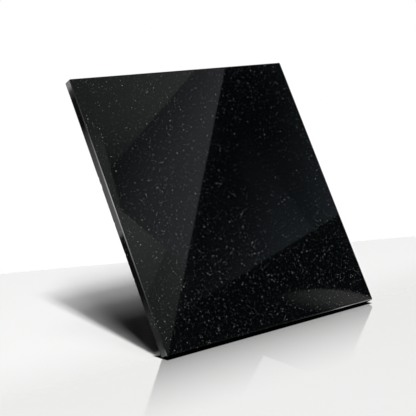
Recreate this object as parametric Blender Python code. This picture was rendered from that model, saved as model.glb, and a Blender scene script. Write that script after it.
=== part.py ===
"""Polished black granite slab for leatherwork: one block of stone that lies flat on the bench.

Frame: +Z points up out of the polished working face, X and Y run along the edges, and the
origin is at the centre of the sawn underside. Units are metres.
"""

import bmesh
import bpy

# Driving dimensions
SLAB_WIDTH = 0.3048  # along X, 12 in
SLAB_LENGTH = 0.3048  # along Y, 12 in
SLAB_THICKNESS = 0.0095  # 3/8 in tile stock after grinding
CORNER_RADIUS = 0.0015  # the four upright corners, eased with a hand pad
FACE_ARRIS = 0.0010  # leg of the 45 degree flat around the polished face
UNDERSIDE_ARRIS = 0.0004  # leg of the small flat around the sawn underside
CORNER_SEGMENTS = 6  # flats in each rounded upright corner

# Granite's look, for a plain render of this model
GRANITE_COLOUR = (0.008, 0.009, 0.010, 1.0)
GRANITE_ROUGHNESS = 0.06
GRANITE_METALLIC = 0.0

SAME_HEIGHT = 1e-6  # two points closer than this lie on one level
CREASE_ANGLE = 0.5  # radians; facets that meet at more than this keep a crisp edge


def clear_scene():
    for old in list(bpy.data.objects):
        bpy.data.objects.remove(old)


def granite_material():
    material = bpy.data.materials.new("black_granite")
    material.use_nodes = True
    shader = material.node_tree.nodes["Principled BSDF"]
    shader.inputs["Base Color"].default_value = GRANITE_COLOUR
    shader.inputs["Roughness"].default_value = GRANITE_ROUGHNESS
    shader.inputs["Metallic"].default_value = GRANITE_METALLIC
    return material


def rim_at(mesh, height):
    """The edges of the block's outline that lie at one height."""
    return [
        edge
        for edge in mesh.edges
        if all(abs(corner.co.z - height) < SAME_HEIGHT for corner in edge.verts)
    ]


def upright_edges(mesh):
    return [
        edge
        for edge in mesh.edges
        if abs(edge.verts[0].co.z - edge.verts[1].co.z) > SAME_HEIGHT
    ]


def ease(mesh, edges, size, segments):
    """Takes the sharpness off edges: one segment cuts a flat, and more round them."""
    bmesh.ops.bevel(
        mesh,
        geom=edges,
        offset=size,
        offset_type="OFFSET",
        affect="EDGES",
        segments=segments,
        profile=0.5,
        material=-1,
    )


def sawn_block(mesh):
    """The square block as it leaves the saw, with its underside at Z = 0."""
    bmesh.ops.create_cube(mesh, size=1.0)
    bmesh.ops.scale(mesh, vec=(SLAB_WIDTH, SLAB_LENGTH, SLAB_THICKNESS), verts=mesh.verts)
    bmesh.ops.translate(mesh, vec=(0.0, 0.0, SLAB_THICKNESS / 2), verts=mesh.verts)


def shade(mesh):
    """Smooth across the rounded corners, crisp along the arrises."""
    for face in mesh.faces:
        face.smooth = True
    for edge in mesh.edges:
        edge.smooth = edge.calc_face_angle() < CREASE_ANGLE


def granite_slab():
    """The whole slab: block, rounded upright corners, then the two arrises."""
    mesh = bmesh.new()
    sawn_block(mesh)
    ease(mesh, upright_edges(mesh), CORNER_RADIUS, CORNER_SEGMENTS)
    ease(mesh, rim_at(mesh, SLAB_THICKNESS), FACE_ARRIS, 1)
    ease(mesh, rim_at(mesh, 0.0), UNDERSIDE_ARRIS, 1)
    bmesh.ops.recalc_face_normals(mesh, faces=mesh.faces)
    shade(mesh)
    data = bpy.data.meshes.new("granite_slab")
    mesh.to_mesh(data)
    mesh.free()
    data.materials.append(granite_material())
    slab = bpy.data.objects.new("granite_slab", data)
    bpy.context.scene.collection.objects.link(slab)
    return slab


clear_scene()
granite_slab()
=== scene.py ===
"""Looks for a polished black granite slab used under leather, laid out as an add-on.

Run as a script, it registers itself and builds the slab and its studio one operator at a time.
Everything is in metres, in the frame of the CAD model: the slab lies flat, polished face up,
with the centre of its sawn underside at the origin.
"""

import math
import random

import bmesh
import bpy
from bpy.props import (
    FloatProperty,
    FloatVectorProperty,
    IntProperty,
    PointerProperty,
)
from bpy.types import Operator, Panel, PropertyGroup
from mathutils import Matrix, Vector


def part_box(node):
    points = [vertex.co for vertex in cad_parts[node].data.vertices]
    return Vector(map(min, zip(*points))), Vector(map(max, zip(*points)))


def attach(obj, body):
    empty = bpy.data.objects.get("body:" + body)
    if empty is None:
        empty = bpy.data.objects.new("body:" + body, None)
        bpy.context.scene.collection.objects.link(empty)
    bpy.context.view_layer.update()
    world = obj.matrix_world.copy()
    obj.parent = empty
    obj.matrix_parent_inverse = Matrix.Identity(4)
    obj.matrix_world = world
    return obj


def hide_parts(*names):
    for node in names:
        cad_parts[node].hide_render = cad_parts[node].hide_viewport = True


bl_info = {
    "name": "Granite Slab",
    "version": (1, 0, 0),
    "blender": (4, 5, 0),
    "location": "3D View > Sidebar > Granite",
    "description": "Builds a polished granite slab for leatherwork and the studio it stands in",
    "category": "Object",
}

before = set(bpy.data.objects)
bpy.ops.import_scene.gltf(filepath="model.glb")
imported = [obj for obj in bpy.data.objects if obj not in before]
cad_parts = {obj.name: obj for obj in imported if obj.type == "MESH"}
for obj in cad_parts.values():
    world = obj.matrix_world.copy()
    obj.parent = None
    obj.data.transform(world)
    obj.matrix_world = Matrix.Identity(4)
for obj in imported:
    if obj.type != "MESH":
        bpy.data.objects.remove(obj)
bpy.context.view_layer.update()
LOW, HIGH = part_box("granite_slab")

# ---------------------------------------------------------------- settings


class SlabSizes(PropertyGroup):
    """Sizes of the slab that the CAD model leaves to the looks."""

    corner_radius: FloatProperty(
        name="Corner radius",
        description="Radius of the four upright corners",
        default=0.0015,
        unit="LENGTH",
    )
    face_arris: FloatProperty(
        name="Face arris",
        description="Radius of the polished roll between face and sides",
        default=0.0011,
        unit="LENGTH",
    )
    underside_arris: FloatProperty(
        name="Underside arris",
        description="Radius of the worn edge around the sawn underside",
        default=0.0004,
        unit="LENGTH",
    )
    chip_count: IntProperty(
        name="Chips",
        description="Number of small chips that the saw left along the underside's edge",
        default=46,
    )
    chip_depth: FloatProperty(
        name="Chip depth",
        description="Depth of the deepest chip",
        default=0.00035,
        unit="LENGTH",
    )


class GraniteLook(PropertyGroup):
    """Colours and grain of the stone."""

    ground: FloatVectorProperty(
        name="Ground",
        description="Colour of the dark crystals",
        subtype="COLOR",
        default=(0.0006, 0.0009, 0.0012),
    )
    silver: FloatVectorProperty(
        name="Silver flecks",
        description="Colour of the feldspar flecks",
        subtype="COLOR",
        default=(0.62, 0.66, 0.68),
    )
    bronze: FloatVectorProperty(
        name="Bronze flecks",
        description="Colour of the bronzite flecks",
        subtype="COLOR",
        default=(0.62, 0.54, 0.42),
    )
    sawn: FloatVectorProperty(
        name="Sawn stone",
        description="Colour of the unpolished underside",
        subtype="COLOR",
        default=(0.055, 0.056, 0.058),
    )
    fleck_spacing: FloatProperty(
        name="Fleck spacing",
        description="Mean distance between crystals that can be a large fleck",
        default=0.0020,
        unit="LENGTH",
    )
    fleck_size: FloatProperty(
        name="Fleck size",
        description="Radius of the largest flecks",
        default=0.00056,
        unit="LENGTH",
    )
    fleck_share: FloatProperty(
        name="Fleck share",
        description="Share of those crystals that are bright",
        default=0.7,
        subtype="FACTOR",
    )
    dust_spacing: FloatProperty(
        name="Dust spacing",
        description="Mean distance between the fine specks",
        default=0.0011,
        unit="LENGTH",
    )
    dust_size: FloatProperty(
        name="Dust size",
        description="Radius of the fine specks",
        default=0.00034,
        unit="LENGTH",
    )
    polish: FloatProperty(
        name="Polish roughness",
        description="Roughness of the polished face",
        default=0.012,
        subtype="FACTOR",
    )
    index: FloatProperty(
        name="Index of refraction",
        description="Index of refraction of the polished stone",
        default=1.55,
    )


class StudioSettings(PropertyGroup):
    """The table that the slab leans over, the lights and the camera."""

    lean: FloatProperty(
        name="Lean",
        description="Angle that the slab leans back from upright on the table",
        default=math.radians(27.5),
        subtype="ANGLE",
    )
    table_turn: FloatProperty(
        name="Table turn",
        description="Angle between the table's back edge and the slab's bottom edge",
        default=math.radians(26.5),
        subtype="ANGLE",
    )
    table_back: FloatProperty(
        name="Table back",
        description="Distance from the slab's bottom edge back to the table's back edge",
        default=0.462,
        unit="LENGTH",
    )
    table_size: FloatProperty(
        name="Table size",
        description="Width and depth of the table",
        default=3.2,
        unit="LENGTH",
    )
    table_colour: FloatVectorProperty(
        name="Table colour",
        description="Colour of the glossy white table",
        subtype="COLOR",
        default=(0.83, 0.835, 0.825),
    )
    camera_distance: FloatProperty(
        name="Camera distance",
        description="Distance from the camera to the point it aims at",
        default=1.267,
        unit="LENGTH",
    )
    camera_azimuth: FloatProperty(
        name="Camera azimuth",
        description="Angle of the camera around the slab, from its bottom edge",
        default=math.radians(-72.34),
        subtype="ANGLE",
    )
    camera_elevation: FloatProperty(
        name="Camera elevation",
        description="Angle of the camera above the polished face",
        default=math.radians(47.62),
        subtype="ANGLE",
    )
    camera_roll: FloatProperty(
        name="Camera roll",
        description="Turn of the camera about its view axis, which stands the slab up",
        default=math.radians(56.53),
        subtype="ANGLE",
    )
    camera_aim: FloatVectorProperty(
        name="Camera aim",
        description="Point on the polished face that the camera aims at",
        size=2,
        unit="LENGTH",
        default=(-0.0351, -0.0105),
    )
    camera_lens: FloatProperty(
        name="Focal length",
        description="Focal length of the camera",
        default=102.3,
        unit="CAMERA",
    )
    strip_powers: FloatVectorProperty(
        name="Strip powers",
        description="Powers of the lower and the upper strip light",
        size=2,
        default=(880.0, 305.0),
        unit="POWER",
    )
    top_power: FloatProperty(
        name="Top power",
        description="Power of the soft light overhead, which lifts the shadow's far end",
        default=160.0,
        unit="POWER",
    )
    side_power: FloatProperty(
        name="Side power",
        description="Power of the light at the left, which softens the shadow's inside",
        default=400.0,
        unit="POWER",
    )


# ---------------------------------------------------------------- shader graphs


class Graph:
    """A node tree with short ways to add nodes and wire them."""

    def __init__(self, tree):
        self.tree = tree

    def add(self, kind, **settings):
        node = self.tree.nodes.new(kind)
        for key, value in settings.items():
            setattr(node, key, value)
        return node

    def put(self, socket, value):
        """Links a socket to another, or sets it to a constant."""
        if isinstance(value, bpy.types.NodeSocket):
            self.tree.links.new(value, socket)
        else:
            socket.default_value = value

    def math(self, operation, *values, clamp=False):
        node = self.add("ShaderNodeMath", operation=operation, use_clamp=clamp)
        for socket, value in zip(node.inputs, values):
            self.put(socket, value)
        return node.outputs[0]

    def product(self, first, *others):
        """Multiplies numbers."""
        for other in others:
            first = self.math("MULTIPLY", first, other)
        return first

    def vector(self, operation, *values, scale=None):
        node = self.add("ShaderNodeVectorMath", operation=operation)
        for socket, value in zip(node.inputs, values):
            self.put(socket, value)
        if scale is not None:
            self.put(node.inputs["Scale"], scale)
        scalar = operation in ("DOT_PRODUCT", "DISTANCE")
        return node.outputs["Value" if scalar else "Vector"]

    def parts(self, vector):
        """The X, Y and Z of a vector."""
        node = self.add("ShaderNodeSeparateXYZ")
        self.put(node.inputs[0], vector)
        return node.outputs

    def fade(self, value, start, end, low=0.0, high=1.0, shape="SMOOTHSTEP"):
        """Goes from low to high as value goes from start to end."""
        node = self.add("ShaderNodeMapRange", interpolation_type=shape)
        for name, setting in (
            ("Value", value),
            ("From Min", start),
            ("From Max", end),
            ("To Min", low),
            ("To Max", high),
        ):
            self.put(node.inputs[name], setting)
        return node.outputs["Result"]

    def blend(self, factor, first, second):
        """Mixes two colours."""
        node = self.add("ShaderNodeMix", data_type="RGBA")
        self.put(node.inputs[0], factor)
        self.put(node.inputs[6], first)
        self.put(node.inputs[7], second)
        return node.outputs[2]

    def lerp(self, factor, first, second):
        """Mixes two numbers."""
        node = self.add("ShaderNodeMix", data_type="FLOAT")
        self.put(node.inputs[0], factor)
        self.put(node.inputs[2], first)
        self.put(node.inputs[3], second)
        return node.outputs[0]

    def noise(self, position, scale, detail=2.0, roughness=0.5, colour=False):
        node = self.add("ShaderNodeTexNoise")
        self.put(node.inputs["Vector"], position)
        self.put(node.inputs["Scale"], scale)
        self.put(node.inputs["Detail"], detail)
        self.put(node.inputs["Roughness"], roughness)
        return node.outputs["Color" if colour else "Fac"]

    def use(self, group, **values):
        """Adds a node group and returns its outputs by name."""
        node = self.add("ShaderNodeGroup", node_tree=group)
        for name, value in values.items():
            self.put(node.inputs[name.replace("_", " ")], value)
        return node.outputs


SOCKETS = {
    "float": "NodeSocketFloat",
    "vector": "NodeSocketVector",
    "colour": "NodeSocketColor",
}


def new_group(name, inputs, outputs):
    """An empty node group, as its graph, its inputs and its output node.

    inputs and outputs hold the names of the sockets of each kind.
    """
    tree = bpy.data.node_groups.new(name, "ShaderNodeTree")
    for side, sockets in (("INPUT", inputs), ("OUTPUT", outputs)):
        for kind, labels in sockets.items():
            for label in labels:
                tree.interface.new_socket(name=label, in_out=side, socket_type=SOCKETS[kind])
    graph = Graph(tree)
    given = graph.add("NodeGroupInput").outputs
    result = graph.add("NodeGroupOutput")
    return graph, given, result


# Grains of the fleck pattern
GRAIN_NOISE = 2.6  # cycles of the noise that makes grains uneven, per grain spacing
GRAIN_UNEVEN = 0.3  # how far it moves a grain's outline, as a share of the size
SMALLEST_GRAIN = 0.35  # radius of the smallest grain, as a share of the size
GRAIN_CORE = 0.72  # share of a grain's radius that is at full strength
GLOW_POWER = 4.2  # the higher, the fewer grains are bright
LEAST_SHARE = 0.001  # keeps a share of 0 from being divided by


def fleck_group():
    """Crystals that catch the light: rounded grains in some cells of a cell pattern."""
    graph, given, result = new_group(
        "Crystal Flecks",
        {"vector": ("Position",), "float": ("Spacing", "Size", "Share")},
        {"float": ("Mask", "Glow", "Tint")},
    )
    position, spacing, size, share = (
        given[name] for name in ("Position", "Spacing", "Size", "Share")
    )
    scale = graph.math("DIVIDE", 1.0, spacing)
    wander = graph.noise(position, graph.product(scale, GRAIN_NOISE), colour=True)
    shift = graph.vector("SUBTRACT", wander, (0.5, 0.5, 0.5))
    shift = graph.vector("SCALE", shift, scale=graph.product(size, GRAIN_UNEVEN))
    cells = graph.add("ShaderNodeTexVoronoi", feature="F1")
    graph.put(cells.inputs["Vector"], graph.vector("ADD", position, shift))
    graph.put(cells.inputs["Scale"], scale)
    split = graph.add("ShaderNodeSeparateColor")
    graph.put(split.inputs[0], cells.outputs["Color"])
    red, green, blue = split.outputs
    distance = graph.product(cells.outputs["Distance"], spacing)
    radius = graph.product(size, graph.fade(green, 0.0, 1.0, SMALLEST_GRAIN, 1.0, "LINEAR"))
    inside = graph.fade(distance, radius, graph.product(radius, GRAIN_CORE))
    chosen = graph.math("LESS_THAN", red, share)
    graph.put(result.inputs["Mask"], graph.product(inside, chosen))
    glow = graph.math("DIVIDE", red, graph.math("MAXIMUM", share, LEAST_SHARE))
    graph.put(result.inputs["Glow"], graph.math("POWER", glow, GLOW_POWER, clamp=True))
    graph.put(result.inputs["Tint"], blue)
    return graph.tree


# How dense the flecks are: where a fade starts and ends, and the density there
CLOUDS = (0.3, 0.7, 0.55, 1.25)  # by a coarse noise
ALONG_BLOCK = (-0.12, 0.12, 1.1, 0.75)  # painted light: by Y, fewer flecks catch light towards +Y
BARE_FADE = (0.03, 0.13, 0.24, 1.0)  # by the distance from the bare patch
BARE_PATCH = (0.065, 0.015, 0.0095)  # middle of the patch with few flecks
GRAIN_FADE = (0.35, 0.7)  # by a fine noise, how much of the ground is lighter crystal
LIGHT_CRYSTAL = (0.0030, 0.0034, 0.0038, 1.0)
DUST_SHIFT = (0.37, 0.11, 0.23)  # keeps the fine specks off the large flecks' cells
DUST_SHARE = 0.9
DUST_LEVEL = 0.29
FLECK_LEVEL = 0.59
BRONZE_FADE = (0.65, 1.2)  # most flecks are silver, and few lean to bronze


def stone_group(flecks):
    """The stone's colour: dark crystals, fine specks and larger bright flecks.

    Flecks lie in clouds, are scarce around a bare patch, and thin out towards +Y as painted
    light.
    """
    graph, given, result = new_group(
        "Black Granite",
        {
            "vector": ("Position",),
            "colour": ("Ground", "Silver", "Bronze"),
            "float": ("Fleck Spacing", "Fleck Size", "Fleck Share", "Dust Spacing", "Dust Size"),
        },
        {"colour": ("Color",), "float": ("Flecks",)},
    )
    position = given["Position"]
    cloud = graph.noise(position, 22.0, detail=3.0, roughness=0.55)
    # the flecks lie in clouds; their thinning towards +Y is painted light
    density = graph.product(
        graph.fade(cloud, *CLOUDS),
        graph.fade(graph.parts(position)["Y"], *ALONG_BLOCK, "LINEAR"),
        graph.fade(graph.vector("DISTANCE", position, BARE_PATCH), *BARE_FADE),
    )
    grain = graph.noise(position, 420.0, detail=3.0, roughness=0.6)
    colour = graph.blend(graph.fade(grain, *GRAIN_FADE), given["Ground"], LIGHT_CRYSTAL)
    large = graph.use(
        flecks,
        Position=position,
        Spacing=given["Fleck Spacing"],
        Size=given["Fleck Size"],
        Share=graph.product(given["Fleck Share"], density),
    )
    fine = graph.use(
        flecks,
        Position=graph.vector("ADD", position, DUST_SHIFT),
        Spacing=given["Dust Spacing"],
        Size=given["Dust Size"],
        Share=graph.product(DUST_SHARE, density),
    )
    masks = []
    for layer, strength in ((fine, DUST_LEVEL), (large, FLECK_LEVEL)):
        bronzed = graph.fade(layer["Tint"], *BRONZE_FADE)
        tint = graph.blend(bronzed, given["Silver"], given["Bronze"])
        lit = graph.vector("SCALE", tint, scale=graph.product(layer["Glow"], strength))
        colour = graph.blend(layer["Mask"], colour, lit)
        masks.append(graph.product(layer["Mask"], layer["Glow"]))
    graph.put(result.inputs["Color"], colour)
    graph.put(result.inputs["Flecks"], graph.math("MAXIMUM", *masks))
    return graph.tree


BLADE_RADIUS = 0.6
BLADE_CENTRE = (-0.87, 0.5)  # in blade radii from the slab's middle
BLADE_WOBBLE = 0.004
SAW_PITCH = 0.0042
ARC_HEIGHT = 0.3  # of the arcs one pitch apart
DRIFT_HEIGHT = 0.45  # of the slower wave that the blade's drift leaves
DRIFT_TURN = 0.83  # radians of that wave per pitch
PIT_HEIGHT = 1.1  # of the torn grain


def saw_group():
    """Shallow arcs that a large diamond blade leaves across sawn stone."""
    graph, given, result = new_group(
        "Saw Marks",
        {"vector": ("Position",), "float": ("Blade Radius", "Pitch")},
        {"float": ("Height",)},
    )
    wobble = graph.noise(given["Position"], 9.0, colour=True)
    wobble = graph.vector("SCALE", wobble, scale=BLADE_WOBBLE)
    bent = graph.vector("ADD", given["Position"], wobble)
    centre = graph.add("ShaderNodeCombineXYZ")
    for axis, share in zip("XY", BLADE_CENTRE):
        graph.put(centre.inputs[axis], graph.product(given["Blade Radius"], share))
    reach = graph.vector("DISTANCE", bent, centre.outputs[0])
    turns = graph.math("DIVIDE", reach, given["Pitch"])
    wave = graph.math("SINE", graph.product(turns, math.tau))
    drift = graph.math("SINE", graph.product(turns, DRIFT_TURN))
    height = graph.math(
        "ADD", graph.product(wave, ARC_HEIGHT), graph.product(drift, DRIFT_HEIGHT)
    )
    pits = graph.noise(given["Position"], 1400.0, detail=3.0, roughness=0.7)
    height = graph.math("ADD", height, graph.product(pits, PIT_HEIGHT))
    graph.put(result.inputs["Height"], height)
    return graph.tree


def edge_group():
    """One straight edge between two studio cards: 0 on one side of it, 1 on the other."""
    graph, given, result = new_group(
        "Card Edge",
        {"vector": ("Place", "Through", "Towards"), "float": ("Softness",)},
        {"float": ("Mask", "Reach")},
    )
    away = graph.vector("SUBTRACT", given["Place"], given["Through"])
    reach = graph.vector("DOT_PRODUCT", away, given["Towards"])
    start = graph.product(given["Softness"], -0.5)
    end = graph.product(given["Softness"], 0.5)
    graph.put(result.inputs["Mask"], graph.fade(reach, start, end))
    graph.put(result.inputs["Reach"], reach)
    return graph.tree


def opaque(colour):
    return (colour[0], colour[1], colour[2], 1.0)


def new_material(name):
    material = bpy.data.materials.new(name)
    material.use_nodes = True
    graph = Graph(material.node_tree)
    material.node_tree.nodes.clear()
    output = graph.add("ShaderNodeOutputMaterial")
    return material, graph, output


def stone_inputs(graph, look):
    """The stone group's inputs, from the settings."""
    return dict(
        Position=graph.add("ShaderNodeTexCoord").outputs["Object"],
        Ground=opaque(look.ground),
        Silver=opaque(look.silver),
        Bronze=opaque(look.bronze),
        Fleck_Spacing=look.fleck_spacing,
        Fleck_Size=look.fleck_size,
        Fleck_Share=look.fleck_share,
        Dust_Spacing=look.dust_spacing,
        Dust_Size=look.dust_size,
    )


SMUDGE_FADE = (0.4, 0.75)  # which part of a coarse noise is a smudge
FLECK_DULLNESS = 0.03  # what the brightest fleck adds to the roughness
RIPPLE_HEIGHT = 0.00003


def add_bump(graph, height, distance):
    """The normal of a surface with this relief."""
    bump = graph.add("ShaderNodeBump")
    bump.inputs["Strength"].default_value = 1.0
    bump.inputs["Distance"].default_value = distance
    graph.put(bump.inputs["Height"], height)
    return bump.outputs["Normal"]


def polish_group():
    """A hand-held polish: faintly rippled, duller in its smudges and on its flecks."""
    graph, given, result = new_group(
        "Polish",
        {"vector": ("Position",), "float": ("Flecks", "Roughness", "Wear")},
        {"float": ("Roughness",), "vector": ("Normal",)},
    )
    smudge = graph.noise(given["Position"], 14.0, detail=4.0, roughness=0.6)
    smudge = graph.fade(smudge, *SMUDGE_FADE)
    rough = graph.math("MULTIPLY_ADD", smudge, given["Wear"], given["Roughness"])
    rough = graph.math("MULTIPLY_ADD", given["Flecks"], FLECK_DULLNESS, rough)
    ripple = graph.noise(given["Position"], 9.0, detail=1.0)
    graph.put(result.inputs["Roughness"], rough)
    graph.put(result.inputs["Normal"], add_bump(graph, ripple, RIPPLE_HEIGHT))
    return graph.tree


def polished_material(stone, polish, look, name, roughness, wear):
    """Granite under a mirror polish; wear is how dull its smudges make it."""
    material, graph, output = new_material(name)
    inputs = stone_inputs(graph, look)
    parts = graph.use(stone, **inputs)
    surface = graph.use(
        polish,
        Position=inputs["Position"],
        Flecks=parts["Flecks"],
        Roughness=roughness,
        Wear=wear,
    )
    shader = graph.add("ShaderNodeBsdfPrincipled")
    graph.put(shader.inputs["Base Color"], parts["Color"])
    graph.put(shader.inputs["Roughness"], surface["Roughness"])
    graph.put(shader.inputs["Normal"], surface["Normal"])
    shader.inputs["IOR"].default_value = look.index
    graph.put(output.inputs["Surface"], shader.outputs[0])
    return material


SAWN_COVER = 0.82  # how far the sawn grey hides the stone's own colour
WORN_GREY = (0.085, 0.086, 0.087, 1.0)
WORN_FADE = (0.3, 0.75, 0.0, 0.5)  # how much it covers, by a coarse noise
STONE_POWDER = (0.16, 0.162, 0.165, 1.0)
RIDGES = (-0.1, 1.2)  # heights of the saw marks' grooves and ridges
POWDER_COVER = (0.0, 0.5)  # in the grooves and on the ridges
SAWN_ROUGHNESS = (0.62, 0.9)  # in the grooves and on the ridges
SAW_MARK_HEIGHT = 0.00008


def sawn_material(stone, saw, look):
    """The unpolished underside: grey, matt, with the blade's arcs."""
    material, graph, output = new_material("sawn_granite")
    inputs = stone_inputs(graph, look)
    parts = graph.use(stone, **inputs)
    height = graph.use(
        saw, Position=inputs["Position"], Blade_Radius=BLADE_RADIUS, Pitch=SAW_PITCH
    )["Height"]
    shade = graph.blend(SAWN_COVER, parts["Color"], opaque(look.sawn))
    worn = graph.noise(inputs["Position"], 30.0, detail=4.0, roughness=0.6)
    shade = graph.blend(graph.fade(worn, *WORN_FADE), shade, WORN_GREY)
    shade = graph.blend(graph.fade(height, *RIDGES, *POWDER_COVER), shade, STONE_POWDER)
    shader = graph.add("ShaderNodeBsdfPrincipled")
    graph.put(shader.inputs["Base Color"], shade)
    graph.put(shader.inputs["Roughness"], graph.fade(height, *RIDGES, *SAWN_ROUGHNESS))
    shader.inputs["IOR"].default_value = look.index
    graph.put(shader.inputs["Normal"], add_bump(graph, height, SAW_MARK_HEIGHT))
    graph.put(output.inputs["Surface"], shader.outputs[0])
    return material


# ---------------------------------------------------------------- the slab's mesh

CELL = 0.0076  # width of the mesh's squares on the face and the underside
CORNER_STEPS = 12  # flats in each rounded upright corner
ARRIS_STEPS = 6  # flats in the polished roll around the face
WORN_STEPS = 3  # flats in the worn edge around the underside
GUARD = 0.0006  # a flat ends in a strip this wide, which keeps its shading flat
CHIP_REACH = 0.0014  # chips stay within this of the underside's edge
CHIP_CUTS = 11  # cuts in a square's edge where the chips are
CHIP_SEED = 7
CHIP_RADII = (0.0008, 0.0026)
CHIP_DEPTHS = (0.3, 1.0)  # square roots of the shallowest and deepest chip's share of the depth
CHIP_RISE = 0.8  # how far a chip goes up, as a share of how far it goes in
SHARP = math.radians(60)  # faces of the block itself meet at more than this
LEVEL = 1e-6  # points that differ by less than this lie on one level
RANKING = Vector((1.0, math.pi, 9.2831853))  # ranks places so that no two come out equal
FACE, SIDE, ARRIS, SAWN = range(4)  # the slab's material slots


def ease(mesh, edges, size, steps):
    """Rounds edges off."""
    bmesh.ops.bevel(
        mesh,
        geom=edges,
        offset=size,
        offset_type="OFFSET",
        affect="EDGES",
        segments=steps,
        profile=0.5,
        material=-1,
    )


def sharp_edges(mesh, height=None):
    """The block's own edges at one height, or the four upright ones."""
    found = []
    for edge in mesh.edges:
        low, high = sorted(corner.co.z for corner in edge.verts)
        if height is None:
            wanted = high - low > LEVEL
        else:
            wanted = max(abs(low - height), abs(high - height)) < LEVEL
        if wanted and edge.calc_face_angle(0.0) > SHARP:
            found.append(edge)
    return found


def cut(mesh, place, direction):
    """Adds edges where a plane crosses the slab, and takes nothing away."""
    everything = mesh.verts[:] + mesh.edges[:] + mesh.faces[:]
    bmesh.ops.bisect_plane(mesh, geom=everything, dist=LEVEL, plane_co=place, plane_no=direction)


def inset_of(point):
    """How far a point lies inside the slab's four sides."""
    return min(point.x - LOW.x, HIGH.x - point.x, point.y - LOW.y, HIGH.y - point.y)


def chip_places(sizes):
    """Where the underside's edge is chipped: place, radius and depth."""
    pick = random.Random(CHIP_SEED)
    half = (HIGH - LOW) / 2
    middle = Vector((LOW.x + half.x, LOW.y + half.y, LOW.z))
    chips = []
    for _ in range(sizes.chip_count):
        along = pick.uniform(-1.0, 1.0)
        side = pick.choice((-1.0, 1.0))
        across, back = pick.choice(((along, side), (side, along)))
        place = middle + Vector((across * half.x, back * half.y, 0.0))
        depth = sizes.chip_depth * pick.uniform(*CHIP_DEPTHS) ** 2
        chips.append((place, pick.uniform(*CHIP_RADII), depth))
    return chips


def near_chips(point):
    return point.z < LOW.z + CHIP_REACH + LEVEL and inset_of(point) < CHIP_REACH + GUARD


def chip_underside(mesh, sizes):
    """Knocks small chips out of the underside's edge, after cutting it finer there."""
    band = [
        edge
        for edge in mesh.edges
        if edge.calc_length() > CELL / 4
        and all(near_chips(corner.co) for corner in edge.verts)
    ]
    bmesh.ops.subdivide_edges(mesh, edges=band, cuts=CHIP_CUTS, use_grid_fill=True)
    chips = chip_places(sizes)
    middle = (LOW + HIGH) / 2
    for corner in mesh.verts:
        place = corner.co
        if place.z - LOW.z > CHIP_REACH - LEVEL or inset_of(place) > CHIP_REACH:
            continue
        depth = 0.0
        for centre, radius, deepest in chips:
            reach = (place - centre).length / radius
            if reach < 1.0:
                depth = max(depth, deepest * (1.0 - reach * reach))
        inward = Vector((middle.x - place.x, middle.y - place.y, 0.0)).normalized()
        corner.co = place + inward * depth + Vector((0.0, 0.0, depth * CHIP_RISE))


def settle(mesh):
    """Puts points, edges and faces in order of place, so that every run gives the same mesh."""
    for parts, place in (
        (mesh.verts, lambda corner: corner.co),
        (mesh.edges, lambda edge: edge.verts[0].co + edge.verts[1].co),
        (mesh.faces, lambda face: face.calc_center_median()),
    ):
        parts.sort(key=lambda part: place(part).dot(RANKING))
        parts.index_update()


def zone_of(face, sizes):
    """The material slot of one face of the eased block."""
    height = face.calc_center_median().z
    if height < LOW.z + sizes.underside_arris:
        return SAWN
    if height > HIGH.z - LEVEL:
        return FACE
    if height > HIGH.z - sizes.face_arris:
        return ARRIS
    return SIDE


def slab_mesh(sizes):
    """The slab as one closed mesh, with a material slot per zone."""
    size = HIGH - LOW
    middle = (LOW + HIGH) / 2
    cells = round(size.x / CELL)
    mesh = bmesh.new()
    bmesh.ops.create_grid(mesh, x_segments=cells, y_segments=cells, size=0.5)
    bmesh.ops.scale(mesh, vec=(size.x, size.y, 1.0), verts=mesh.verts)
    bmesh.ops.translate(mesh, vec=(middle.x, middle.y, LOW.z), verts=mesh.verts)
    raised = bmesh.ops.extrude_face_region(mesh, geom=mesh.faces[:], use_keep_orig=True)
    raised = [item for item in raised["geom"] if isinstance(item, bmesh.types.BMVert)]
    bmesh.ops.translate(mesh, vec=(0.0, 0.0, size.z), verts=raised)
    bmesh.ops.recalc_face_normals(mesh, faces=mesh.faces)
    ease(mesh, sharp_edges(mesh), sizes.corner_radius, CORNER_STEPS)
    ease(mesh, sharp_edges(mesh, HIGH.z), sizes.face_arris, ARRIS_STEPS)
    ease(mesh, sharp_edges(mesh, LOW.z), sizes.underside_arris, WORN_STEPS)
    flat = size / 2 - Vector.Fill(3, sizes.face_arris + GUARD)
    for side in (-1.0, 1.0):
        cut(mesh, middle + Vector((side * flat.x, 0.0, 0.0)), (1.0, 0.0, 0.0))
        cut(mesh, middle + Vector((0.0, side * flat.y, 0.0)), (0.0, 1.0, 0.0))
    for height in (
        LOW.z + CHIP_REACH,
        LOW.z + CHIP_REACH + GUARD,
        HIGH.z - sizes.face_arris - GUARD,
    ):
        cut(mesh, (middle.x, middle.y, height), (0.0, 0.0, 1.0))
    for face in mesh.faces:
        face.smooth = True
        face.material_index = zone_of(face, sizes)
    chip_underside(mesh, sizes)
    bmesh.ops.recalc_face_normals(mesh, faces=mesh.faces)
    settle(mesh)
    return mesh


def finished(name, mesh, *materials):
    """Mesh data from a bmesh, which it frees."""
    data = bpy.data.meshes.new(name)
    mesh.to_mesh(data)
    mesh.free()
    for material in materials:
        data.materials.append(material)
    return data


# Name, how much rougher than the face, and wear
POLISHED_ZONES = (
    ("polished_face", 0.0, 0.008),
    ("polished_side", 0.02, 0.02),
    ("polished_arris", 0.10, 0.05),
)
FEWEST_FACES = 1000  # a slab with fewer faces than this wasn't built whole


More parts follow.
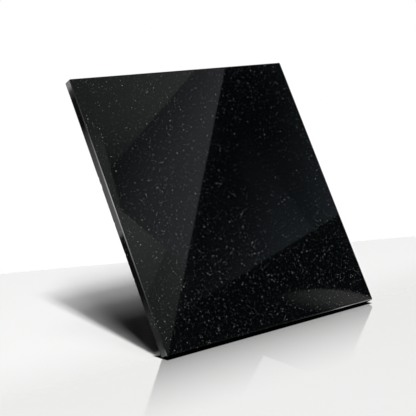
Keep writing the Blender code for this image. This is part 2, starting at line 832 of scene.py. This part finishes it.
class GRANITE_OT_add_slab(Operator):
    """Add the granite slab: polished face, rolled arris, polished sides and sawn underside"""

    bl_idname = "granite.add_slab"
    bl_label = "Add Slab"

    def execute(self, context):
        look = context.scene.granite_look
        stone = stone_group(fleck_group())
        polish = polish_group()
        mesh = slab_mesh(context.scene.granite_sizes)
        if len(mesh.faces) < FEWEST_FACES:
            raise RuntimeError("the slab's mesh came out empty")
        materials = [
            polished_material(stone, polish, look, name, look.polish + duller, wear)
            for name, duller, wear in POLISHED_ZONES
        ]
        materials.append(sawn_material(stone, saw_group(), look))
        slab = bpy.data.objects.new("slab", finished("slab", mesh, *materials))
        context.scene.collection.objects.link(slab)
        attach(slab, "root")
        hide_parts("granite_slab")
        return {"FINISHED"}


# ---------------------------------------------------------------- the studio

UP = Vector((0.0, 0.0, 1.0))
LEFT = Vector((-1.0, 0.0, 0.0))
BOTTOM = Vector((0.0, -1.0, 0.0))


class Table:
    """The table's own directions: x along the slab's bottom edge, front, and up."""

    def __init__(self, lean):
        self.origin = Vector(((LOW.x + HIGH.x) / 2, LOW.y, LOW.z))
        self.across = Vector((1.0, 0.0, 0.0))
        self.front = Vector((0.0, -math.sin(lean), math.cos(lean)))
        self.up = Vector((0.0, math.cos(lean), math.sin(lean)))

    def at(self, across, front, up):
        return self.origin + self.across * across + self.front * front + self.up * up

    def along(self, direction):
        """A direction given as across, front and up, with a length of 1."""
        return (self.at(*direction) - self.origin).normalized()


def stage_object(name, data):
    thing = bpy.data.objects.new(name, data)
    bpy.context.scene.collection.objects.link(thing)
    return thing


def standing(right, up, back, place):
    """The matrix of a camera or a light that looks away from back."""
    rows = [(right[i], up[i], back[i], place[i]) for i in range(3)]
    return Matrix(rows + [(0.0, 0.0, 0.0, 1.0)])


def camera_frame(studio):
    """The camera's right, up and back directions, and its place."""
    azimuth, elevation = studio.camera_azimuth, studio.camera_elevation
    back = Vector(
        (
            math.sin(azimuth) * math.cos(elevation),
            -math.cos(azimuth) * math.cos(elevation),
            math.sin(elevation),
        )
    )
    aim = Vector((studio.camera_aim[0], studio.camera_aim[1], HIGH.z))
    level = UP.cross(back).normalized()
    upright = back.cross(level)
    roll = studio.camera_roll
    right = level * math.cos(roll) + upright * math.sin(roll)
    up = upright * math.cos(roll) - level * math.sin(roll)
    return right, up, back, aim + back * studio.camera_distance


def add_camera(studio):
    data = bpy.data.cameras.new("camera")
    data.lens = studio.camera_lens
    data.sensor_width = 36.0
    data.clip_start = 0.05
    data.clip_end = 50.0
    camera = bpy.data.objects.new("camera", data)
    bpy.context.scene.collection.objects.link(camera)
    camera.matrix_world = standing(*camera_frame(studio))
    bpy.context.scene.camera = camera


CRISP = 0.004  # softness of a card's edge


def card_edge(graph, place, line, beside, softness=CRISP):
    """The mask and reach of a card's edge; the card lies on the side that beside is on."""
    (u0, v0), (u1, v1) = line
    normal = Vector((v1 - v0, u0 - u1, 0.0)).normalized()
    if normal.dot(Vector((beside[0] - u0, beside[1] - v0, 0.0))) < 0:
        normal = -normal
    return graph.use(
        bpy.data.node_groups["Card Edge"],
        Place=place,
        Through=(u0, v0, 0.0),
        Towards=tuple(normal),
        Softness=softness,
    )


def add_mix(graph, factor, first, second):
    """Mixes the first outputs of two shaders."""
    mix = graph.add("ShaderNodeMixShader")
    for socket, value in zip(mix.inputs, (factor, first.outputs[0], second.outputs[0])):
        graph.put(socket, value)
    return mix


# The sheen in front of the slab. All places on the table are metres across the slab's bottom
# edge and in front of it.
SHEEN_LEFT = ((-0.148, 0.122), (-0.077, 0.067))
SHEEN_NEAR = ((-0.077, 0.067), (-0.087, 0.136))
SHEEN_RIGHT = ((-0.087, 0.136), (-0.050, 0.154))
SHEEN_FALL = (0.0, 0.155, 1.0, 0.0)
SHEEN_POWER = 1.5
SHEEN_START = (-0.03, 0.008)
SHEEN_LEVEL = 0.64
SHEEN_DIM = 0.45  # share of the sheen that is left outside its bright part
SHEEN_COLOUR = (0.84, 0.845, 0.82, 1.0)
SHEEN_ROUGHNESS = 0.08
# Painted shade: the table is painted black in the gap under the slab's bottom edge
GAP_FRONT = (0.0102, 0.0066)
GAP_ENDS = (0.1525, 0.1505)
GAP_BACK = (-0.02, -0.01)
CLOSE_STONE = (0.12, 0.05, 0.88, 1.0)  # painted shade: stone this close mirrors the table black
BACK_FADE = (0.03, -0.14)  # painted light: the table is painted whiter behind the slab
BACK_COLOUR = (0.93, 0.93, 0.925, 1.0)


def sheen_share(graph, place, front):
    """How much of the table's shade is sheen, at each place."""
    left = card_edge(graph, place, SHEEN_LEFT, (-0.15, 0.03))["Mask"]
    near = card_edge(graph, place, SHEEN_NEAR, (0.0, 0.0))["Mask"]
    right = card_edge(graph, place, SHEEN_RIGHT, (0.0, 0.0))["Mask"]
    bright = graph.math("MAXIMUM", left, graph.product(near, right))
    fall = graph.math("POWER", graph.fade(front, *SHEEN_FALL, "LINEAR"), SHEEN_POWER)
    return graph.product(
        fall,
        SHEEN_LEVEL,
        graph.fade(front, *SHEEN_START),
        graph.lerp(bright, SHEEN_DIM, 1.0),
    )


def painted_shade_share(graph, across, front):
    """Painted shade on the table: black in the gap under the slab, and to stone that is close.
    """
    gap = graph.product(
        graph.fade(front, *GAP_FRONT),
        graph.fade(graph.math("ABSOLUTE", across), *GAP_ENDS),
        graph.fade(front, *GAP_BACK),
    )
    path = graph.add("ShaderNodeLightPath").outputs
    close = graph.fade(path["Ray Length"], *CLOSE_STONE)
    return graph.math("MAXIMUM", gap, graph.product(close, path["Is Glossy Ray"]))


def table_material(studio):
    """White, glossy in front of the slab, and clear from behind so that it never hides it."""
    material, graph, output = new_material("white_table")
    place = graph.add("ShaderNodeUVMap").outputs[0]
    across, front, _ = graph.parts(place)
    # painted shade: where this is 1 the table turns black and loses its sheen
    dark = painted_shade_share(graph, across, front)
    # painted light: the table's colour turns whiter behind the slab
    colour = graph.blend(
        graph.fade(front, *BACK_FADE), opaque(studio.table_colour), BACK_COLOUR
    )
    matt = graph.add("ShaderNodeBsdfDiffuse")
    graph.put(matt.inputs["Color"], graph.blend(dark, colour, (0.0, 0.0, 0.0, 1.0)))
    sheen = graph.add("ShaderNodeBsdfAnisotropic")
    sheen.inputs["Color"].default_value = SHEEN_COLOUR
    sheen.inputs["Roughness"].default_value = SHEEN_ROUGHNESS
    share = graph.product(sheen_share(graph, place, front), graph.math("SUBTRACT", 1.0, dark))
    top = add_mix(graph, share, matt, sheen)
    behind = graph.add("ShaderNodeNewGeometry").outputs["Backfacing"]
    whole = add_mix(graph, behind, top, graph.add("ShaderNodeBsdfTransparent"))
    graph.put(output.inputs["Surface"], whole.outputs[0])
    return material


def add_table(table, studio):
    """The tilted table; its UV map holds each place's metres across and in front."""
    turn = studio.table_turn
    along = Vector((math.cos(turn), math.sin(turn)))
    forward = Vector((-math.sin(turn), math.cos(turn)))
    back = Vector((0.0, -studio.table_back))
    mesh = bmesh.new()
    layer = mesh.loops.layers.uv.new("UVMap")
    bmesh.ops.create_grid(mesh, x_segments=1, y_segments=1, size=studio.table_size / 2)
    for corner in mesh.verts:
        depth = corner.co.y + studio.table_size / 2
        spot = back + along * corner.co.x + forward * depth
        for loop in corner.link_loops:
            loop[layer].uv = spot
        corner.co = table.at(spot.x, spot.y, 0.0)
    mesh.normal_update()
    for face in mesh.faces:
        if face.normal.dot(table.up) < 0:
            face.normal_flip()
    stage_object("table", finished("table", mesh, table_material(studio)))


def area_light(name, towards, tall, size, power):
    """A rectangular light on the slab from one direction, its length along tall."""
    data = bpy.data.lights.new(name, "AREA")
    data.shape = "RECTANGLE"
    data.size, data.size_y = size
    data.energy = power
    light = stage_object(name, data)
    light.visible_glossy = False
    tall = (tall - towards * towards.dot(tall)).normalized()
    place = Vector((LOW.x, 0.0, HIGH.z)) + towards * LAMP_DISTANCE
    light.matrix_world = standing(tall.cross(towards), tall, towards, place)


LAMP_DISTANCE = 12.0  # from the slab to every light
STRIP_SIZE = (0.85, 2.2)
STRIP_HEIGHTS = (math.radians(56.5), math.radians(68.0))  # above the table
TOP_SIZE = (3.75, 3.75)
SIDE_SIZE = (0.95, 2.85)
# Directions in the table's terms: across, front and up
SHADOW_EDGE = (0.227, -1.0, 0.0)
TOP_LIGHT = (0.0, 0.16, 1.0)
SIDE_LIGHT = (-0.44, 0.86, 1.0)
SIDE_LIGHT_LENGTH = (-0.27, 0.20, 0.0)


def add_lights(table, studio):
    """Two strips in the plane of the slab's left edge, so that the edge's shadow starts crisp.

    A soft light overhead and one at the left, outside that plane, make the shadow fade.
    """
    shadow = table.along(SHADOW_EDGE)
    across = shadow.cross(BOTTOM).normalized()
    rise = shadow.cross(across).normalized()
    if rise.dot(table.up) < 0:
        rise = -rise
    for name, angle, power in zip(
        ("low_strip", "high_strip"), STRIP_HEIGHTS, studio.strip_powers
    ):
        towards = rise * math.sin(angle) - shadow * math.cos(angle)
        area_light(name, towards, across.cross(towards), STRIP_SIZE, power)
    tall = table.along(SIDE_LIGHT_LENGTH)
    area_light("top", table.along(TOP_LIGHT), tall, TOP_SIZE, studio.top_power)
    area_light("side", table.along(SIDE_LIGHT), tall, SIDE_SIZE, studio.side_power)


# Edges between the grey studio cards, where the polish shows them: two points each, in shares
# of the face from its lower left corner
DIVIDE = ((0.004, 0.0), (0.711, 1.0))
UPPER_LEFT = ((0.0, 0.636), (0.56, 0.997))
LOWER_LEFT = ((0.0, 0.537), (0.17, 0.326))
LEFT_BAND = ((0.049, 0.767), (0.023, 0.519))
SMALL_FACET = ((0.042, 0.245), (0.151, 0.352))
LOWER_RIGHT = ((0.10, 0.125), (1.0, 0.35))
FOLD = ((0.65, 0.78), (0.80, 0.41))
LENS_BASE = ((0.54, 0.078), (0.82, 0.0))
LENS_CENTRE = (0.58, -0.85, 0.0)
LENS_RIM = (0.961, 0.949)

# Gradients on the cards: two places, and the levels there. A place is a share of the face, or
# the distance from a card's edge in the same measure.
MIDDLE_ACROSS = (-0.44, -0.02, 0.02, 0.37)
MIDDLE_TOP = (-0.16, 0.0, 1.0, 0.70)
UPPER_ACROSS = (0.0, 0.5, 0.19, 0.36)
UPPER_ALONG = (0.55, 0.85, 0.3, 1.0)
BAND_END = (0.84, 0.72)
LOWER_ALONG = (0.08, 0.42, 0.18, 0.44)
FACET_SHADE = (0.0, 0.10, 0.74, 1.0)
RIGHT_DOWN = (-0.62, -0.02, 0.0, 1.0)
RIGHT_POWER = 2.2
RIGHT_LEVEL = 0.15
RIGHT_START = (0.0, 0.34, 0.25, 1.0)
RIGHT_RIM = (0.82, 1.0, 0.0, 0.03)
FOLD_SHADE = (0.0, 0.22, 0.66, 1.0)
LENS_ACROSS = (0.55, 0.88, 0.02, 0.42)
LENS_SOFTNESS = 0.06

# Tints and flat greys of the cards
COOL = (0.95, 0.98, 1.06)
GREENISH = (0.97, 1.03, 0.98)
BLUISH = (0.85, 1.0, 1.15)
NEUTRAL = (1.0, 1.0, 1.0)
BAND_GREY = (0.285, 0.30, 0.29, 1.0)
NEAR_BLACK = (0.006, 0.006, 0.007, 1.0)


def grey(graph, tint, *levels):
    """A tinted grey, whose level is the product of the given ones."""
    return graph.vector("SCALE", tint, scale=graph.product(*levels))


def left_cards(graph, place, divide):
    """The lighter cards: middle, upper left with its band, and lower left with its facet."""
    u, v, _ = graph.parts(place)
    upper = card_edge(graph, place, UPPER_LEFT, (0.0, 1.0))
    colour = grey(
        graph,
        COOL,
        graph.fade(divide["Reach"], *MIDDLE_ACROSS, "LINEAR"),
        graph.fade(upper["Reach"], *MIDDLE_TOP),
    )
    card = grey(
        graph,
        GREENISH,
        graph.fade(u, *UPPER_ACROSS, "LINEAR"),
        graph.fade(v, *UPPER_ALONG),
    )
    colour = graph.blend(upper["Mask"], colour, card)
    band = card_edge(graph, place, LEFT_BAND, (0.0, 0.6))["Mask"]
    band = graph.product(band, graph.fade(v, *BAND_END))
    colour = graph.blend(band, colour, BAND_GREY)
    facet = card_edge(graph, place, SMALL_FACET, (0.1, 0.2))
    shade = graph.lerp(facet["Mask"], 1.0, graph.fade(facet["Reach"], *FACET_SHADE))
    card = grey(graph, GREENISH, graph.fade(v, *LOWER_ALONG, "LINEAR"), shade)
    lower = card_edge(graph, place, LOWER_LEFT, (0.0, 0.0))["Mask"]
    return graph.blend(lower, colour, card)


def right_cards(graph, place, divide):
    """The dark cards: one that lightens downwards, a black one and a lens-shaped one."""
    u = graph.parts(place)["X"]
    under = card_edge(graph, place, LOWER_RIGHT, (1.0, 0.0))
    down = graph.fade(under["Reach"], *RIGHT_DOWN, "LINEAR")
    fold = card_edge(graph, place, FOLD, (1.0, 0.8))
    level = graph.product(
        graph.math("POWER", down, RIGHT_POWER),
        graph.lerp(fold["Mask"], 1.0, graph.fade(fold["Reach"], *FOLD_SHADE)),
        graph.fade(divide["Reach"], *RIGHT_START),
        RIGHT_LEVEL,
    )
    colour = grey(graph, BLUISH, graph.math("ADD", level, graph.fade(u, *RIGHT_RIM)))
    colour = graph.blend(under["Mask"], colour, NEAR_BLACK)
    disc = graph.fade(graph.vector("DISTANCE", place, LENS_CENTRE), *LENS_RIM)
    base = card_edge(graph, place, LENS_BASE, (1.0, 0.2), LENS_SOFTNESS)["Mask"]
    lens = grey(graph, NEUTRAL, graph.fade(u, *LENS_ACROSS, "LINEAR"))
    return graph.blend(graph.product(disc, base), colour, lens)


def card_material():
    """Grey cards in one sheet, each with its own gradient, seen only in the polish."""
    material, graph, output = new_material("studio_cards")
    place = graph.add("ShaderNodeUVMap").outputs[0]
    divide = card_edge(graph, place, DIVIDE, (1.0, 0.0))
    left = left_cards(graph, place, divide)
    right = right_cards(graph, place, divide)
    glow = graph.add("ShaderNodeEmission")
    graph.put(glow.inputs["Color"], graph.blend(divide["Mask"], left, right))
    glow.inputs["Strength"].default_value = 1.0
    graph.put(output.inputs["Surface"], glow.outputs[0])
    return material


# Light along the sheets that the left side, the left arris and the bottom arris mirror, from
# the bottom or left end: share of the edge, and level
LEFT_SIDE = (
    (0.0, 1.2),
    (0.03, 0.50),
    (0.06, 0.24),
    (0.14, 0.24),
    (0.22, 0.04),
    (0.42, 0.04),
    (0.435, 1.1),
    (0.55, 1.05),
    (0.65, 0.85),
    (0.75, 0.5),
    (0.80, 0.28),
    (0.83, 0.04),
    (0.93, 0.06),
    (0.96, 0.4),
    (0.98, 2.4),
)
LEFT_ARRIS = (
    (0.0, 4.0),
    (0.03, 0.3),
    (0.15, 0.5),
    (0.25, 1.2),
    (0.38, 3.2),
    (0.45, 5.2),
    (0.55, 7.0),
    (0.65, 5.2),
    (0.76, 2.6),
    (0.80, 1.1),
    (0.95, 0.4),
)
BOTTOM_ARRIS = (
    (0.0, 0.0),
    (0.56, 0.05),
    (0.68, 0.4),
    (0.77, 1.1),
    (0.84, 5.6),
    (0.90, 3.2),
    (0.96, 4.8),
)
BRIGHTEST = 7.0
CARD_DISTANCE = 1.1  # from the polished face to the grey cards that it mirrors
STRIP_DISTANCE = 0.006  # from the slab's sides to the strips that they mirror
STRIP_REACH = 0.0072  # only stone nearer than this mirrors a strip


def strip_material(name, stops):
    """Light that changes along a narrow sheet, and that only the stone beside it mirrors."""
    material, graph, output = new_material(name)
    ramp = graph.add("ShaderNodeValToRGB")
    along = graph.parts(graph.add("ShaderNodeUVMap").outputs[0])["X"]
    graph.put(ramp.inputs[0], along)
    marks = ramp.color_ramp.elements
    while len(marks) < len(stops):
        marks.new(1.0)
    for mark, (share, level) in zip(marks, stops):
        mark.position = share
        mark.color = (level / BRIGHTEST,) * 3 + (1.0,)
    glow = graph.add("ShaderNodeEmission")
    graph.put(glow.inputs["Color"], ramp.outputs["Color"])
    glow.inputs["Strength"].default_value = BRIGHTEST
    length = graph.add("ShaderNodeLightPath").outputs["Ray Length"]
    behind = graph.add("ShaderNodeNewGeometry").outputs["Backfacing"]
    unseen = graph.math("MAXIMUM", graph.math("GREATER_THAN", length, STRIP_REACH), behind)
    mix = add_mix(graph, unseen, glow, graph.add("ShaderNodeBsdfTransparent"))
    graph.put(output.inputs["Surface"], mix.outputs[0])
    return material


OVERHANG = 0.06  # share of the edge that a sheet reaches past both of its ends
FACE_CELLS = (40, 40)
STRIP_CELLS = (80, 16)


def mirror_sheet(name, line_at, camera, distance, material, cells, overhang=0.0):
    """A sheet that polished stone shows to the camera, seen by glossy rays only.

    line_at gives a line on the stone for each V: its start, its end and the stone's normal.
    """
    mesh = bmesh.new()
    layer = mesh.loops.layers.uv.new("UVMap")
    bmesh.ops.create_grid(mesh, x_segments=cells[0], y_segments=cells[1], size=0.5)
    for corner in mesh.verts:
        share_u = 0.5 + corner.co.x * (1.0 + 2 * OVERHANG)
        share_v = 0.5 + corner.co.y * (1.0 + 2 * overhang)
        for loop in corner.link_loops:
            loop[layer].uv = (share_u, share_v)
        start, end, normal = line_at(share_v)
        spot = start.lerp(end, share_u)
        ray = (spot - camera).normalized().reflect(normal)
        corner.co = spot + ray * distance
    mesh.faces.ensure_lookup_table()
    mesh.normal_update()
    first = mesh.faces[0]
    if first.normal.dot(line_at(0.5)[0] - first.calc_center_median()) < 0:
        bmesh.ops.reverse_faces(mesh, faces=mesh.faces)
    sheet = stage_object(name, finished(name, mesh, material))
    for ray in ("camera", "diffuse", "transmission", "volume_scatter", "shadow"):
        setattr(sheet, "visible_" + ray, False)


SIDE_MARGINS = (0.001, 0.0005)  # how far the side's strip goes past its bottom and top
LEFT_TILTS = (15.0, 86.0)  # degrees of each roll that the camera sees, from the face
BOTTOM_TILTS = (0.3, 50.0)


def face_line(share):
    """The line across the polished face at one share of its length."""
    y = LOW.y + (HIGH.y - LOW.y) * share
    return Vector((LOW.x, y, HIGH.z)), Vector((HIGH.x, y, HIGH.z)), UP


def left_line(share):
    """The line along the left side at one share of its height, a little past both ends."""
    bottom, top = LOW.z - SIDE_MARGINS[0], HIGH.z + SIDE_MARGINS[1]
    z = bottom + (top - bottom) * share
    return Vector((LOW.x, LOW.y, z)), Vector((LOW.x, HIGH.y, z)), LEFT


def rolled(outward, tilts, share):
    """The roll's normal, which tilts away from the face's as share grows."""
    tilt = math.radians(tilts[0] + (tilts[1] - tilts[0]) * share)
    return UP * math.cos(tilt) + outward * math.sin(tilt)


def left_roll_line(share):
    start, end, _ = left_line(0.0)
    start.z = end.z = HIGH.z
    return start, end, rolled(LEFT, LEFT_TILTS, share)


def bottom_roll_line(share):
    start, end, _ = face_line(0.0)
    return start, end, rolled(BOTTOM, BOTTOM_TILTS, share)


def add_cards(studio):
    """Cards where the polished face, sides and arrises mirror them to the camera."""
    camera = camera_frame(studio)[-1]
    cards = card_material()
    mirror_sheet("face_cards", face_line, camera, CARD_DISTANCE, cards, FACE_CELLS, OVERHANG)
    for name, line_at, stops in (
        ("left_side_strip", left_line, LEFT_SIDE),
        ("left_arris_strip", left_roll_line, LEFT_ARRIS),
        ("bottom_arris_strip", bottom_roll_line, BOTTOM_ARRIS),
    ):
        light = strip_material(name, stops)
        mirror_sheet(name, line_at, camera, STRIP_DISTANCE, light, STRIP_CELLS)


AMBIENT = 0.002  # strength of the white room as a light on matt surfaces
HORIZON = (-0.10, 0.0)  # heights between which the white turns into panels
PANEL_GREYS = (0.0, 1.0, 0.10, 0.34)  # heights, and the panels' greys there
PANEL_MEET = (0.0, 0.0, 0.62)  # the edges between panels go through this direction
PANEL_EDGES = (((0.8, -0.45, 0.2), 0.55), ((-0.5, -0.8, 0.15), 0.7))  # side, and its dimming
PANEL_SOFTNESS = 0.01


def white_room():
    """A white surround, dim as a light, with grey panels above for polished stone to mirror."""
    world = bpy.data.worlds.new("white_room")
    world.use_nodes = True
    graph = Graph(world.node_tree)
    world.node_tree.nodes.clear()
    direction = graph.add("ShaderNodeTexCoord").outputs["Generated"]
    height = graph.parts(direction)["Z"]
    panels = graph.fade(height, *PANEL_GREYS, "LINEAR")
    for towards, dimmer in PANEL_EDGES:
        edge = graph.use(
            bpy.data.node_groups["Card Edge"],
            Place=direction,
            Through=PANEL_MEET,
            Towards=towards,
            Softness=PANEL_SOFTNESS,
        )
        panels = graph.product(panels, graph.lerp(edge["Mask"], 1.0, dimmer))
    path = graph.add("ShaderNodeLightPath").outputs
    mirrored = graph.product(path["Is Glossy Ray"], graph.fade(height, *HORIZON))
    seen = graph.math("MAXIMUM", path["Is Camera Ray"], path["Is Glossy Ray"])
    first = graph.math("SUBTRACT", 1.0, path["Diffuse Depth"], clamp=True)
    level = graph.lerp(
        graph.product(seen, first), AMBIENT, graph.lerp(mirrored, 1.0, panels)
    )
    back = graph.add("ShaderNodeBackground")
    back.inputs["Color"].default_value = (1.0, 1.0, 1.0, 1.0)
    graph.put(back.inputs["Strength"], level)
    output = graph.add("ShaderNodeOutputWorld")
    graph.put(output.inputs["Surface"], back.outputs[0])
    bpy.context.scene.world = world


class GRANITE_OT_add_studio(Operator):
    """Add the white table, the lights, the cards that the polish mirrors, and the camera"""

    bl_idname = "granite.add_studio"
    bl_label = "Add Studio"

    def execute(self, context):
        studio = context.scene.granite_studio
        table = Table(studio.lean)
        edge_group()
        add_camera(studio)
        add_table(table, studio)
        add_lights(table, studio)
        add_cards(studio)
        white_room()
        context.scene.view_settings.view_transform = "Standard"
        if context.scene.camera is None:
            raise RuntimeError("the studio has no camera")
        return {"FINISHED"}


class GRANITE_PT_sidebar(Panel):
    """Settings and operators of the granite slab"""

    bl_label = "Granite Slab"
    bl_idname = "GRANITE_PT_sidebar"
    bl_space_type = "VIEW_3D"
    bl_region_type = "UI"
    bl_category = "Granite"

    def draw(self, context):
        layout = self.layout
        layout.use_property_split = True
        for title, name in (
            ("Slab", "granite_sizes"),
            ("Stone", "granite_look"),
            ("Studio", "granite_studio"),
        ):
            box = layout.box()
            box.label(text=title)
            settings = getattr(context.scene, name)
            for key in settings.__annotations__:
                box.prop(settings, key)
        layout.operator(GRANITE_OT_add_slab.bl_idname)
        layout.operator(GRANITE_OT_add_studio.bl_idname)


CLASSES = (
    SlabSizes,
    GraniteLook,
    StudioSettings,
    GRANITE_OT_add_slab,
    GRANITE_OT_add_studio,
    GRANITE_PT_sidebar,
)
SETTINGS = (
    ("granite_sizes", SlabSizes),
    ("granite_look", GraniteLook),
    ("granite_studio", StudioSettings),
)


def register():
    for item in CLASSES:
        bpy.utils.register_class(item)
    for name, kind in SETTINGS:
        setattr(bpy.types.Scene, name, PointerProperty(type=kind))


def unregister():
    for name, _ in SETTINGS:
        delattr(bpy.types.Scene, name)
    for item in reversed(CLASSES):
        bpy.utils.unregister_class(item)


def main():
    register()
    bpy.ops.granite.add_slab()
    bpy.ops.granite.add_studio()


if __name__ == "__main__":
    main()
